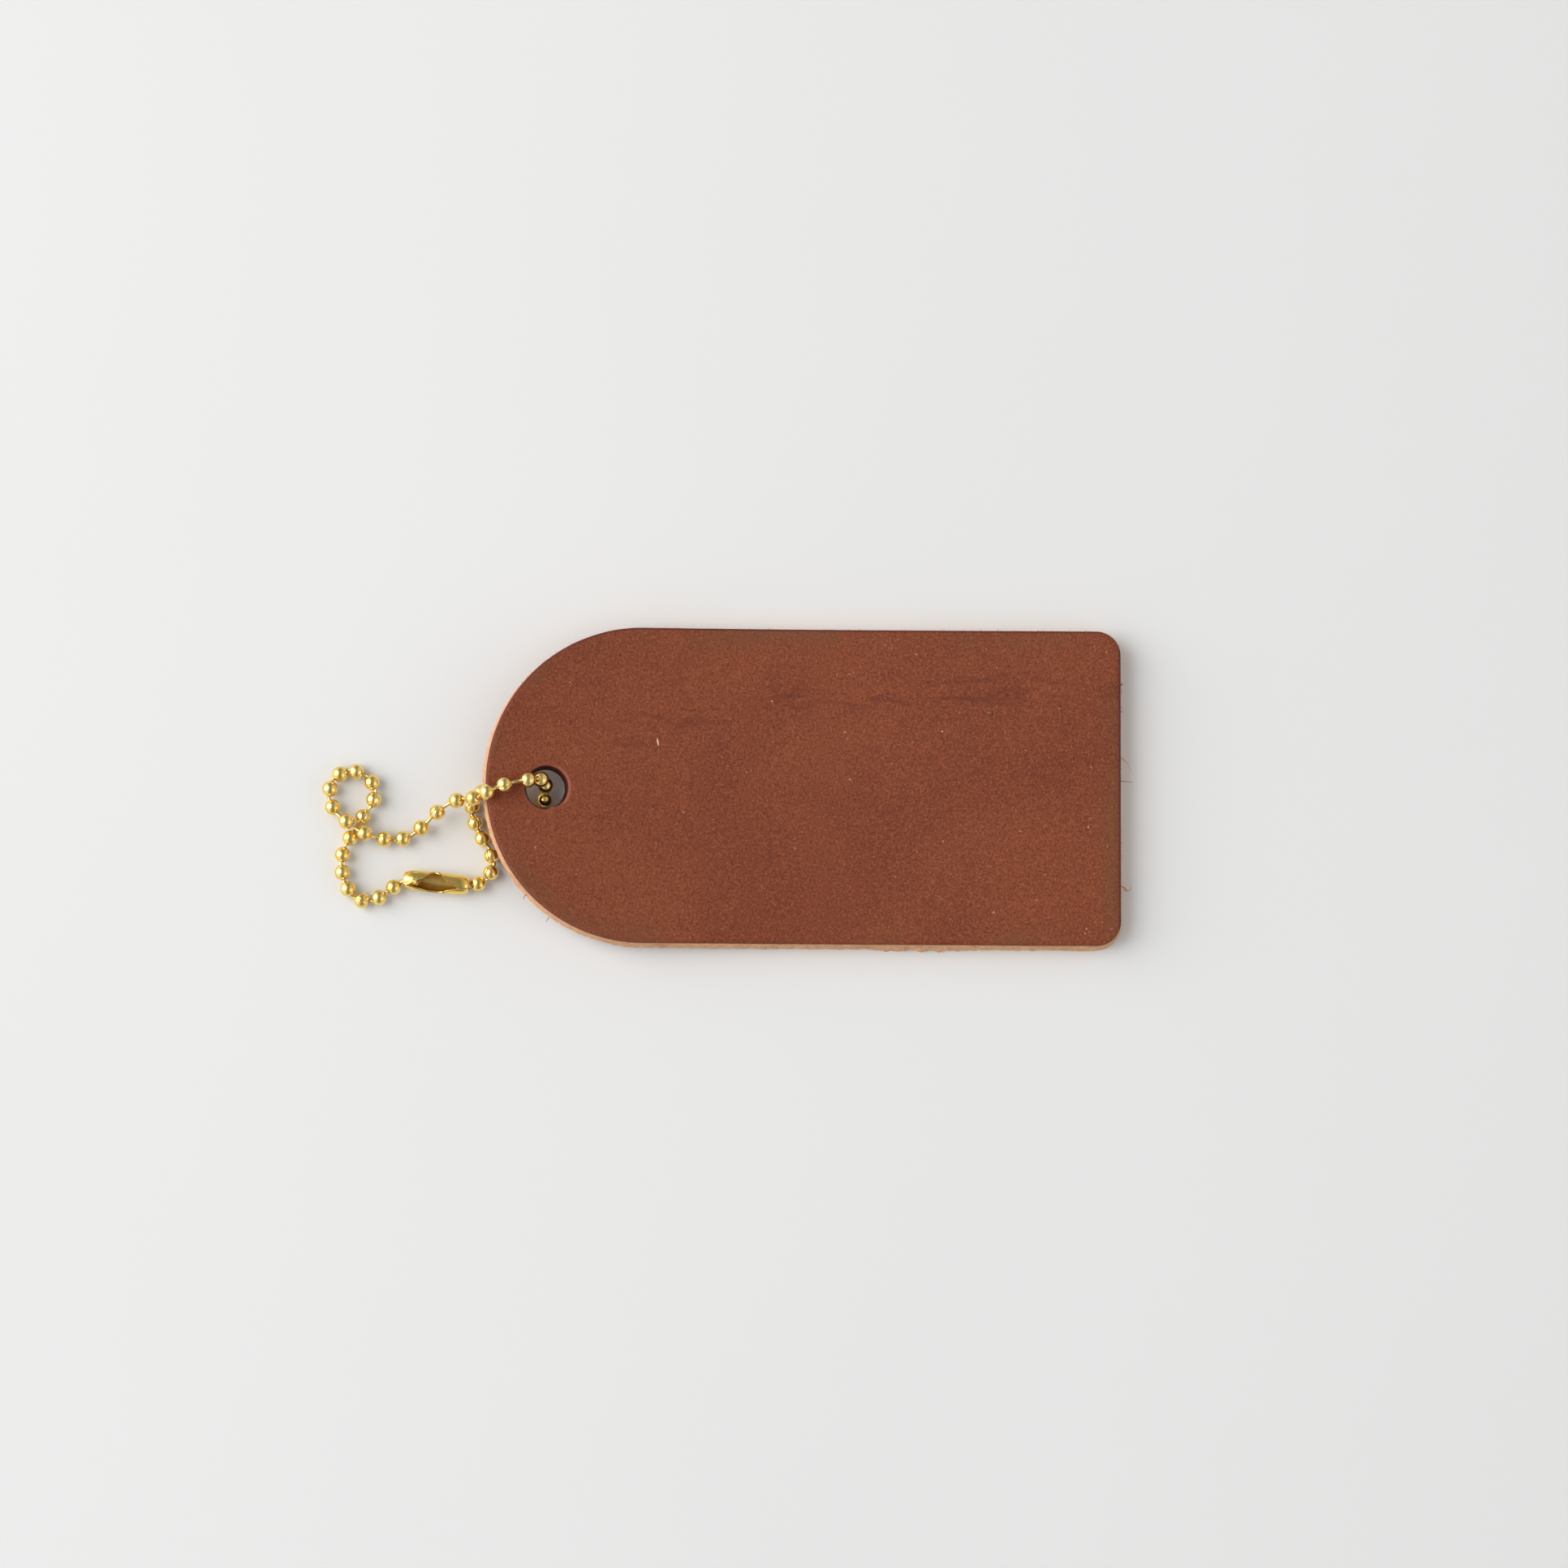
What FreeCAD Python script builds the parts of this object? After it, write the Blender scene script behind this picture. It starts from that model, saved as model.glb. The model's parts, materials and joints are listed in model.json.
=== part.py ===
import FreeCAD, Part
import math
import os

# Keychain: a thick die-cut leather tag on a closed loop of brass ball chain, lying as it was laid on a table.
# Millimetres. +X runs along the tag to its square end, +Y across it, +Z up from the table.
# The origin is the centre of the flat stretch of the tag's underside, on which the tag rests.

Vec = FreeCAD.Vector
UP = Vec(0, 0, 1)

# --- Leather tag -------------------------------------------------------------------------------------------
TAG_THICKNESS = 3.6
TAG_WIDTH = 48.3                 # at the underside; the round end's radius is half of it
TAG_LENGTH = 96.8                # round tip to square end, at the underside
TAG_CORNER_RADIUS = 4.0          # the two corners of the square end
TAG_WALL_SLOPE = 0.10            # the cut wall leans in by this much per mm of height
FLAT_LENGTH = 36.4               # flat stretch next to the square end, centred on the origin
CURL_RADIUS = 480.0              # the rest curls up gently towards the round end
HOLE_DIAMETER = 6.5              # quarter-inch punch, at the grain face
HOLE_NARROWING = 0.7             # the squeezed leather closes in by this much by the underside
HOLE_X = -69.0
HOLE_Y = -0.5

# --- Ball chain: number 3 size, 2.4 mm beads ---------------------------------------------------------------
BEAD_RADIUS = 1.2
BEAD_WALL = 0.15
BEAD_HOLE_RADIUS = 0.38
PIN_RADIUS = 0.28
PIN_HEAD_RADIUS = 0.42
PIN_HEAD_INSET = 0.62            # from the middle of a bead's hole wall to the pin head's centre
PIN_STUB = 0.40                  # a cut pin at each free end of the chain: how far it goes past that same middle

# --- Coupling: sheet brass rolled to a tube with domed ends, open along one side ---------------------------
COUPLING_OUTER_RADIUS = 1.55
COUPLING_WALL = 0.27
COUPLING_BEAD_PLAY = 0.05        # between an end bead and the dome that holds it, along the tube
COUPLING_MOUTH_RADIUS = 1.0      # end holes: smaller than a bead, so the end beads stay in
SLOT_LENGTH = 7.8
SLOT_WIDTH = 2.3
SLOT_SHIFT = -0.65               # the slot's middle from the tube's middle; minus is towards the first bead
NOTCH_RADIUS = 1.3               # half-round widening where a bead is pushed in
NOTCH_SHIFT = -0.37              # the notch's middle from the tube's middle
NOTCH_RISE = 0.6                 # the notch's middle off the slot's own line, towards its upper lip
SLOT_TURN = 22.0                 # degrees that the slot is turned from straight up towards -Y

# Centres of the 40 beads along the loop, from the one in the coupling's left end to the one in its right end.
BEAD_PLACES = [
    # out of the coupling and round the small loop
    (-89.2, -14.3, 1.55), (-91.9, -15.4, 1.2), (-94.1, -17.0, 1.2), (-96.7, -17.4, 1.2),
    (-98.8, -15.7, 1.2), (-99.7, -13.2, 1.2), (-99.7, -10.5, 1.2),
    # under the crossing and round the far loop
    (-98.6, -7.95, 1.2), (-96.7, -4.75, 1.2), (-95.1, -2.1, 1.2), (-95.4, 0.5, 1.2),
    (-97.8, 2.15, 1.2), (-100.3, 1.75, 1.2), (-101.75, -0.5, 1.2), (-101.3, -3.3, 1.3),
    # over the crossing and along the table to the tag
    (-99.1, -5.5, 2.2), (-96.3, -7.3, 2.2), (-93.4, -8.1, 1.3), (-90.6, -8.0, 1.2),
    (-87.8, -6.4, 1.8), (-85.3, -4.1, 2.9), (-82.3, -2.4, 4.1),
    # up over the tag's edge, across its face, down through the hole and back under it
    (-79.6, -2.25, 6.7), (-77.4, -1.45, 8.5), (-74.8, -0.3, 8.55), (-71.3, 0.5, 7.85),
    (-69.5, 0.7, 6.1), (-68.95, 0.0, 3.6), (-69.15, -2.1, 2.0),
    (-71.2, -3.6, 1.2), (-73.7, -3.0, 1.2), (-76.25, -0.9, 1.2),
    # out from under the tag and round into the coupling
    (-78.8, -0.95, 1.2), (-80.2, -3.05, 1.2), (-79.7, -5.55, 1.2), (-78.55, -7.9, 1.2),
    (-77.1, -10.5, 1.2), (-77.2, -13.1, 1.2), (-79.1, -14.8, 1.2), (-81.6, -15.0, 1.55),
]
AXIS_PASSES = 80                 # small turns that each bead makes to lie easily between its two pins
AXIS_EASING = 0.2

# The loop is one closed chain. It is cut into stretches that move as one; the first one goes through the tag's
# hole, and the others follow it both ways round to the coupling. Numbers are the first and last bead.
HUB_STRETCH = (23, 39)
OUTER_STRETCHES = [(19, 22), (18, 18), (16, 17), (15, 15), (14, 14), (12, 13), (11, 11), (10, 10),
                   (8, 9), (7, 7), (6, 6), (4, 5), (3, 3), (2, 2), (1, 1)]
END_STRETCH = (40, 40)


def bead_centre(number):
    return Vec(*BEAD_PLACES[number - 1])


def coupling_direction():
    """Along the coupling, from bead 1 in its left end to the last bead in its right end."""
    return (bead_centre(len(BEAD_PLACES)) - bead_centre(1)).normalize()


def hole_reach():
    """From a bead's centre to the middle of its hole's wall."""
    inner_end = math.sqrt((BEAD_RADIUS - BEAD_WALL) ** 2 - BEAD_HOLE_RADIUS ** 2)
    outer_end = math.sqrt(BEAD_RADIUS ** 2 - BEAD_HOLE_RADIUS ** 2)
    return (inner_end + outer_end) / 2


def settled_axes():
    """Direction of each bead's holes, from back to front, once the bead has turned to suit its two pins.

    A bead rests where its pins leave it at equal angles, and each pass turns every bead a little towards that.
    The end beads have one pin each, and the coupling's own direction stands for the other.
    """
    count = len(BEAD_PLACES)
    centres = [bead_centre(number) for number in range(1, count + 1)]
    inside_coupling = coupling_direction() * -1.0
    axes = [(centres[min(k + 1, count - 1)] - centres[max(k - 1, 0)]).normalize() for k in range(count)]
    for _ in range(AXIS_PASSES):
        fronts = [centres[k] + axes[k] * hole_reach() for k in range(count)]
        backs = [centres[k] - axes[k] * hole_reach() for k in range(count)]
        pins = [(backs[k + 1] - fronts[k]).normalize() for k in range(count - 1)]
        pins = [inside_coupling] + pins + [inside_coupling]
        for k in range(count):
            wanted = (pins[k] + pins[k + 1]).normalize()
            axes[k] = (axes[k] * (1 - AXIS_EASING) + wanted * AXIS_EASING).normalize()
    return axes


BEAD_AXES = settled_axes()


def bead_axis(number):
    return BEAD_AXES[number - 1]


def hole_middle(number, side):
    """Middle of a bead's hole wall; side is +1 for the front hole and -1 for the back hole."""
    return bead_centre(number) + bead_axis(number) * side * hole_reach()


# --- Leather tag -------------------------------------------------------------------------------------------
def tag_outline(height):
    """Closed outline of the die-cut wall at one height: a half-round end and a square end with round corners."""
    inset = TAG_WALL_SLOPE * height
    half = TAG_WIDTH / 2 - inset
    corner = TAG_CORNER_RADIUS - inset
    right = FLAT_LENGTH / 2 - inset
    left_centre = FLAT_LENGTH / 2 - TAG_LENGTH + TAG_WIDTH / 2
    bend = corner * math.sqrt(0.5)

    def at(x, y):
        return Vec(x, y, height)

    edges = [
        Part.LineSegment(at(left_centre, -half), at(right - corner, -half)),
        Part.Arc(at(right - corner, -half),
                 at(right - corner + bend, -half + corner - bend),
                 at(right, -half + corner)),
        Part.LineSegment(at(right, -half + corner), at(right, half - corner)),
        Part.Arc(at(right, half - corner),
                 at(right - corner + bend, half - corner + bend),
                 at(right - corner, half)),
        Part.LineSegment(at(right - corner, half), at(left_centre, half)),
        Part.Arc(at(left_centre, half), at(left_centre - half, 0), at(left_centre, -half)),
    ]
    return Part.Wire([edge.toShape() for edge in edges])


def curl_point(angle, height):
    """Point of the side profile: `height` above the underside, at `angle` radians round the curl."""
    radius = CURL_RADIUS - height
    return Vec(-FLAT_LENGTH / 2 - radius * math.sin(angle), 0, CURL_RADIUS - radius * math.cos(angle))


def curled_slab():
    """Leather before it is cut to its outline: flat, then curling up, and wider than the tag."""
    full = (TAG_LENGTH - FLAT_LENGTH) / CURL_RADIUS * 1.06
    right = FLAT_LENGTH / 2 + 1.0
    edges = [
        Part.LineSegment(Vec(right, 0, 0), curl_point(0, 0)),
        Part.Arc(curl_point(0, 0), curl_point(full / 2, 0), curl_point(full, 0)),
        Part.LineSegment(curl_point(full, 0), curl_point(full, TAG_THICKNESS)),
        Part.Arc(curl_point(full, TAG_THICKNESS),
                 curl_point(full / 2, TAG_THICKNESS),
                 curl_point(0, TAG_THICKNESS)),
        Part.LineSegment(curl_point(0, TAG_THICKNESS), Vec(right, 0, TAG_THICKNESS)),
        Part.LineSegment(Vec(right, 0, TAG_THICKNESS), Vec(right, 0, 0)),
    ]
    profile = Part.Face(Part.Wire([edge.toShape() for edge in edges]))
    profile.translate(Vec(0, -TAG_WIDTH, 0))
    return profile.extrude(Vec(0, 2 * TAG_WIDTH, 0))


def leather_tag():
    """Thick leather slab with a leaning cut wall and one hole, punched square to the curled leather."""
    top = CURL_RADIUS - (CURL_RADIUS - TAG_THICKNESS) * math.cos(TAG_LENGTH / CURL_RADIUS)
    cut_block = Part.makeLoft([tag_outline(0), tag_outline(top)], True, True)
    angle = math.asin((-FLAT_LENGTH / 2 - HOLE_X) / CURL_RADIUS)
    middle = curl_point(angle, TAG_THICKNESS / 2) + Vec(0, HOLE_Y, 0)
    along = Vec(math.sin(angle), 0, math.cos(angle))
    # The cone runs past each face by half the thickness, so its ends are narrower and wider than the hole's.
    punch = Part.makeCone(HOLE_DIAMETER / 2 - HOLE_NARROWING * 0.75, HOLE_DIAMETER / 2 + HOLE_NARROWING * 0.25,
                          2 * TAG_THICKNESS, middle - along * TAG_THICKNESS, along)
    return curled_slab().common(cut_block).cut(punch)


# --- Turned shapes that the chain is made of ---------------------------------------------------------------
def turned(edges):
    """Solid of revolution about Z of a closed profile in the XZ plane, given as line segments and arcs."""
    profile = Part.Face(Part.Wire([edge.toShape() for edge in edges]))
    return profile.revolve(Vec(0, 0, 0), UP, 360)


def at(radius, height):
    """Point of a turned profile."""
    return Vec(radius, 0, height)


def end_arc(ball, hole_radius, straight, side):
    """Quarter-round end of a shell's profile, from the hole's rim to the widest place; side is +1 for the top."""
    steepness = math.acos(hole_radius / ball)
    rim = at(hole_radius, side * (straight / 2 + ball * math.sin(steepness)))
    middle = at(ball * math.cos(steepness / 2), side * (straight / 2 + ball * math.sin(steepness / 2)))
    return rim, middle, at(ball, side * straight / 2)


def shell_side(ball, hole_radius, straight):
    """Profile edges from the top hole's rim down to the bottom one's, and the two rims."""
    top_rim, top_middle, top_wide = end_arc(ball, hole_radius, straight, 1)
    low_rim, low_middle, low_wide = end_arc(ball, hole_radius, straight, -1)
    edges = [Part.Arc(top_rim, top_middle, top_wide)]
    if straight > 0:
        edges.append(Part.LineSegment(top_wide, low_wide))
    edges.append(Part.Arc(low_wide, low_middle, low_rim))
    return edges, top_rim, low_rim


def open_shell(radius, wall, hole_radius, straight):
    """Thin round-ended shell along Z with a hole in each end; the centres of its ends lie `straight` apart."""
    outside, outer_top, outer_low = shell_side(radius, hole_radius, straight)
    inside, inner_top, inner_low = shell_side(radius - wall, hole_radius, straight)
    rims = [Part.LineSegment(outer_low, inner_low), Part.LineSegment(inner_top, outer_top)]
    return turned(outside + [rims[0]] + inside[::-1] + [rims[1]])


def placed(shape, centre, direction):
    """The shape with its +Z turned to `direction` and its origin moved to `centre`."""
    shape.Placement = FreeCAD.Placement(centre, FreeCAD.Rotation(UP, direction))
    return shape


# --- Ball chain --------------------------------------------------------------------------------------------
def bead(number):
    """Hollow brass bead with a hole at each pole."""
    return placed(open_shell(BEAD_RADIUS, BEAD_WALL, BEAD_HOLE_RADIUS, 0), bead_centre(number), bead_axis(number))


def link_pin(number):
    """Headed wire that joins a bead to the next one: shank through both hole walls, a ball head in each bead."""
    start = hole_middle(number, 1)
    end = hole_middle(number + 1, -1)
    reach = (end - start).Length / 2 + PIN_HEAD_INSET
    neck = reach - math.sqrt(PIN_HEAD_RADIUS ** 2 - PIN_RADIUS ** 2)
    tip = reach + PIN_HEAD_RADIUS
    pin = turned([
        Part.LineSegment(at(0, -tip), at(0, tip)),
        Part.Arc(at(0, tip), at(PIN_HEAD_RADIUS, reach), at(PIN_RADIUS, neck)),
        Part.LineSegment(at(PIN_RADIUS, neck), at(PIN_RADIUS, -neck)),
        Part.Arc(at(PIN_RADIUS, -neck), at(PIN_HEAD_RADIUS, -reach), at(0, -tip)),
    ])
    return placed(pin, (start + end) / 2, (end - start).normalize())


def pin_stub(number, side):
    """What a cut link leaves in an end bead: a ball head inside and a short shank out of the free hole."""
    neck = PIN_HEAD_INSET - math.sqrt(PIN_HEAD_RADIUS ** 2 - PIN_RADIUS ** 2)
    tip = PIN_HEAD_INSET + PIN_HEAD_RADIUS
    stub = turned([
        Part.LineSegment(at(0, -tip), at(0, PIN_STUB)),
        Part.LineSegment(at(0, PIN_STUB), at(PIN_RADIUS, PIN_STUB)),
        Part.LineSegment(at(PIN_RADIUS, PIN_STUB), at(PIN_RADIUS, -neck)),
        Part.Arc(at(PIN_RADIUS, -neck), at(PIN_HEAD_RADIUS, -PIN_HEAD_INSET), at(0, -tip)),
    ])
    return placed(stub, hole_middle(number, side), bead_axis(number) * side)


def pin_group(first, last):
    """Pins `first` to `last` of the chain as one group of separate solids."""
    return Part.makeCompound([link_pin(number) for number in range(first, last + 1)])


# --- Coupling ----------------------------------------------------------------------------------------------
def coupling_slot():
    """Lens-shaped prism with a half-round notch, cut through one side of the tube and turned off the vertical."""
    half_length = SLOT_LENGTH / 2
    half_width = SLOT_WIDTH / 2
    depth = 2 * COUPLING_OUTER_RADIUS
    lips = [
        Part.Arc(Vec(-half_length, 0, 0), Vec(0, half_width, 0), Vec(half_length, 0, 0)),
        Part.Arc(Vec(half_length, 0, 0), Vec(0, -half_width, 0), Vec(-half_length, 0, 0)),
    ]
    lens = Part.Face(Part.Wire([lip.toShape() for lip in lips])).extrude(Vec(0, 0, depth))
    lens.translate(Vec(SLOT_SHIFT, 0, 0))
    notch = Part.makeCylinder(NOTCH_RADIUS, depth, Vec(NOTCH_SHIFT, NOTCH_RISE, 0))
    slot = lens.fuse(notch)
    slot.rotate(Vec(0, 0, 0), Vec(1, 0, 0), SLOT_TURN)
    along = coupling_direction()
    slot.rotate(Vec(0, 0, 0), UP, math.degrees(math.atan2(along.y, along.x)))
    slot.translate((bead_centre(1) + bead_centre(len(BEAD_PLACES))) / 2)
    return slot


def coupling():
    """Rolled sheet-brass connector that snaps over the two end beads."""
    first = bead_centre(1)
    last = bead_centre(len(BEAD_PLACES))
    straight = (last - first).Length + 2 * COUPLING_BEAD_PLAY
    shell = open_shell(COUPLING_OUTER_RADIUS, COUPLING_WALL, COUPLING_MOUTH_RADIUS, straight)
    return placed(shell, (first + last) / 2, coupling_direction()).cut(coupling_slot())


def save(name, shape):
    shape.exportStep(os.path.join("parts", name + ".step"))


os.makedirs("parts", exist_ok=True)
save("leather_tag", leather_tag())
save("coupling", coupling())
for bead_number in range(1, len(BEAD_PLACES) + 1):
    save("bead_%02d" % bead_number, bead(bead_number))

# A pin rides with the bead on its outer side, away from the hub, and tilts in the hole of the inner one.
save("pins_%02d_to_%02d" % (HUB_STRETCH[0], HUB_STRETCH[1] - 1), pin_group(HUB_STRETCH[0], HUB_STRETCH[1] - 1))
# The two end beads' pins are grouped with the cut stubs in those beads' free holes.
for first_bead, last_bead in OUTER_STRETCHES:
    if first_bead == 1:
        save("pin_01", Part.makeCompound([link_pin(1), pin_stub(1, -1)]))
    elif first_bead == last_bead:
        save("pin_%02d" % first_bead, link_pin(first_bead))
    else:
        save("pins_%02d_to_%02d" % (first_bead, last_bead), pin_group(first_bead, last_bead))
last_pin = HUB_STRETCH[1]
save("pin_%02d" % last_pin, Part.makeCompound([link_pin(last_pin), pin_stub(last_pin + 1, 1)]))
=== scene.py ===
import json
import math
import random

import bpy
from mathutils import Matrix, Vector, geometry, noise


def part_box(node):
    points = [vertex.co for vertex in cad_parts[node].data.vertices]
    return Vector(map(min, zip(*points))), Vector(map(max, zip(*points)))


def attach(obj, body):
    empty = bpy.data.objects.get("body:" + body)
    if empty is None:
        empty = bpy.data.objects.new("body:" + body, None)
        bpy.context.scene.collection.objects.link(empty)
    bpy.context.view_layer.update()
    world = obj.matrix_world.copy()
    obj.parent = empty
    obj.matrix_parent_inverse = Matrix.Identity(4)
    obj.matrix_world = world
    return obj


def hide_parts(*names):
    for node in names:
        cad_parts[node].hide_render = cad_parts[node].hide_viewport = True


# Looks of a leather tag on a brass ball chain.
# Lengths below are in millimetres; MM turns them into metres.
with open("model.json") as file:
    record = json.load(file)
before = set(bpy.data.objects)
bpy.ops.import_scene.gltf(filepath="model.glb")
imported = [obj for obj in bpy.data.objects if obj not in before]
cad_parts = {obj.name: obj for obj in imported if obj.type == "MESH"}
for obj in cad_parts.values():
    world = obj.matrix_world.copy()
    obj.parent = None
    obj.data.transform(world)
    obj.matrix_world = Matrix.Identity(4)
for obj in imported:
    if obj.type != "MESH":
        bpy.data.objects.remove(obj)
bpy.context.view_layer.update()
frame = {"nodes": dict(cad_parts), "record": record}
MM = 0.001
UP = Vector((0, 0, 1))
RECORD = frame["record"]
BODIES = RECORD["behaviour"]["bodies"]
BODY_OF_NODE = {node: body for body, nodes in BODIES.items() for node in nodes}

# --- Leather tag: the same outline, curl and hole as the CAD part --------------------------------------
tag_low, tag_high = (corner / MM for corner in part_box("leather_tag"))
TAG_RIGHT = tag_high.x
TAG_HALF_WIDTH = (tag_high.y - tag_low.y) / 2
TAG_THICKNESS = 3.6
TAG_LENGTH = 96.8
TAG_CORNER_RADIUS = 4.0
ROUND_END_X = TAG_RIGHT - TAG_LENGTH + TAG_HALF_WIDTH
CURL_START_X = -TAG_RIGHT
CURL_RADIUS = 480.0
HOLE_RADIUS = 3.25
HOLE_X, HOLE_Y = -69.1, -0.5
OUTLINE_STEP = 0.42
HOLE_STEPS = 96
FACE_STEP = 0.5                  # size of the triangles on the grain face
FLESH_STEP = 1.0                 # and on the underside

# Wall of the tag from the underside up: height, and how far it stands in from the underside's outline.
WALL_RINGS = [(0.0, 0.12), (0.1, 0.03), (0.25, 0.0), (0.5, 0.02), (0.8, 0.05), (1.1, 0.08), (1.45, 0.11),
              (1.8, 0.14), (2.15, 0.17), (2.5, 0.20), (2.8, 0.23), (3.05, 0.26), (3.25, 0.31), (3.4, 0.38),
              (3.5, 0.47), (3.57, 0.58), (3.6, 0.72)]
GRAIN_FROM = 3.2                 # the grain face rolls over the edge down to this height
# Wall of the hole from the top down: height, and how far it stands out from the punch's radius.
HOLE_RINGS = [(3.6, 0.60), (3.57, 0.40), (3.5, 0.22), (3.38, 0.09), (3.2, 0.0), (2.8, -0.06), (2.3, -0.13),
              (1.8, -0.18), (1.3, -0.24), (0.8, -0.29), (0.35, -0.33), (0.0, -0.30)]
HOLE_GRAIN_FROM = 3.35           # the grain face rolls into the hole down to this height
RAGGED_FROM, RAGGED_TO = -18.5, -6.5      # where the knife left the near edge ragged
RAGGED_PUSH = 0.6
NEAR_FOOT = 0.16                 # the near wall's foot splays out by this much
# Middle of the band of growth wrinkles, from beside the hole to the square end.
WRINKLE_PATH = [(-65.6, 4.8), (-56.0, 7.4), (-44.7, 11.6), (-20.0, 13.2), (0.0, 14.6), (17.9, 15.2)]
LOOSE_FIBRES = 150               # small hairs spread over the cut wall

# --- Ball chain ----------------------------------------------------------------------------------------
BEAD_COUNT = 40
BEAD_RADIUS = 1.2
BEAD_WALL = 0.15
BEAD_HOLE_RADIUS = 0.38
PIN_RADIUS = 0.28
PIN_HEAD_RADIUS = 0.42
PIN_HEAD_INSET = 0.62
PIN_STUB = 0.40
AXIS_PASSES = 80
AXIS_EASING = 0.2
SEAM_HALF_ANGLE = 3.2            # degrees
SEAM_DEPTH = 0.11

# --- Coupling: places along its tube from the middle, degrees from straight up towards -Y ---
COUPLING_RADIUS = 1.55
COUPLING_SHEET = 0.22
COUPLING_MOUTH = 0.9
COUPLING_END = 4.98              # from the middle to each mouth
COUPLING_SHOULDER = 2.9          # where the round ends begin
LOWER_LIP = [(-4.5, 39), (-3.4, 49), (-2.3, 63), (-1.8, 77), (-1.0, 85), (0.8, 85), (1.5, 63),
             (2.4, 45), (3.4, 24)]
UPPER_LIP = [(-4.5, 39), (-3.9, 22), (-3.1, 5), (-2.5, -4), (-2.0, -13), (-1.3, -41), (-0.85, -60),
             (-0.3, -80), (0.3, -68), (0.85, -43), (1.3, -20), (2.2, -1), (3.4, 24)]
SEAM_GAP = 1.6                   # degrees, half the butt seam's width beyond the slot's tips
LIP_BULGE = 1.4                  # degrees, roundness of the sheet's cut edge
COUPLING_STEPS_ALONG = 84
COUPLING_STEPS_ROUND = 60
COUPLING_END_STEPS = 14
COUPLING_DENT = 0.012

# --- Floor, light and camera -----------------------------------------------------------------------------
FLOOR_HALF_WIDTH = 1600.0
FLOOR_DROP = 0.03                # the floor lies this far under the part
# Brightness of the room from its -X wall, over the ceiling, to its +X wall.
ROOM_GREYS = [(0.19, 1.0), (0.40, 0.30), (0.60, 0.24), (0.81, 0.62)]
ROOM_STRENGTH = 1.03
CAMERA_TILT, CAMERA_ROLL = 5.0, 0.35      # degrees from straight down, and about the line of sight
CAMERA_DISTANCE = 600.0
CAMERA_AIM_X, CAMERA_AIM_Y = -32.9, 0.45
CAMERA_LENS, CAMERA_SENSOR = 91.12, 36.0

rng = random.Random(40)


# --- Mesh help -----------------------------------------------------------------------------------------
def new_piece(name, points, faces, materials, face_materials=None):
    """Smooth-shaded mesh object; `points` are in millimetres in the row frame."""
    mesh = bpy.data.meshes.new(name)
    mesh.from_pydata([p * MM for p in points], [], faces)
    for material in materials:
        mesh.materials.append(material)
    if face_materials:
        mesh.polygons.foreach_set("material_index", face_materials)
    mesh.polygons.foreach_set("use_smooth", [True] * len(mesh.polygons))
    mesh.update()
    piece = bpy.data.objects.new(name, mesh)
    bpy.context.scene.collection.objects.link(piece)
    return piece


def finish_piece(piece, body, nodes=()):
    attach(piece, body)
    if nodes:
        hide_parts(*nodes)
    return piece


def bridge(lower, upper, closed=True):
    """Quads between two rows of point numbers of the same length."""
    count = len(lower)
    steps = range(count) if closed else range(count - 1)
    return [(lower[k], lower[(k + 1) % count], upper[(k + 1) % count], upper[k]) for k in steps]


def point_attribute(piece, name, values):
    piece.data.attributes.new(name, "FLOAT", "POINT").data.foreach_set("value", values)


def smooth_step(low, high, value):
    t = min(max((value - low) / (high - low), 0.0), 1.0)
    return t * t * (3 - 2 * t)


def through(points, at):
    """Value at `at` on a smooth curve through the points, held level beyond the first and the last."""
    slopes = []
    for k in range(len(points)):
        before, after = max(k - 1, 0), min(k + 1, len(points) - 1)
        slopes.append((points[after][1] - points[before][1]) / (points[after][0] - points[before][0]))
    at = min(max(at, points[0][0]), points[-1][0])
    k = max(i for i in range(len(points) - 1) if points[i][0] <= at)
    width = points[k + 1][0] - points[k][0]
    t = (at - points[k][0]) / width
    return ((2 * t**3 - 3 * t**2 + 1) * points[k][1] + (t**3 - 2 * t**2 + t) * width * slopes[k]
            + (3 * t**2 - 2 * t**3) * points[k + 1][1] + (t**3 - t**2) * width * slopes[k + 1])


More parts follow.
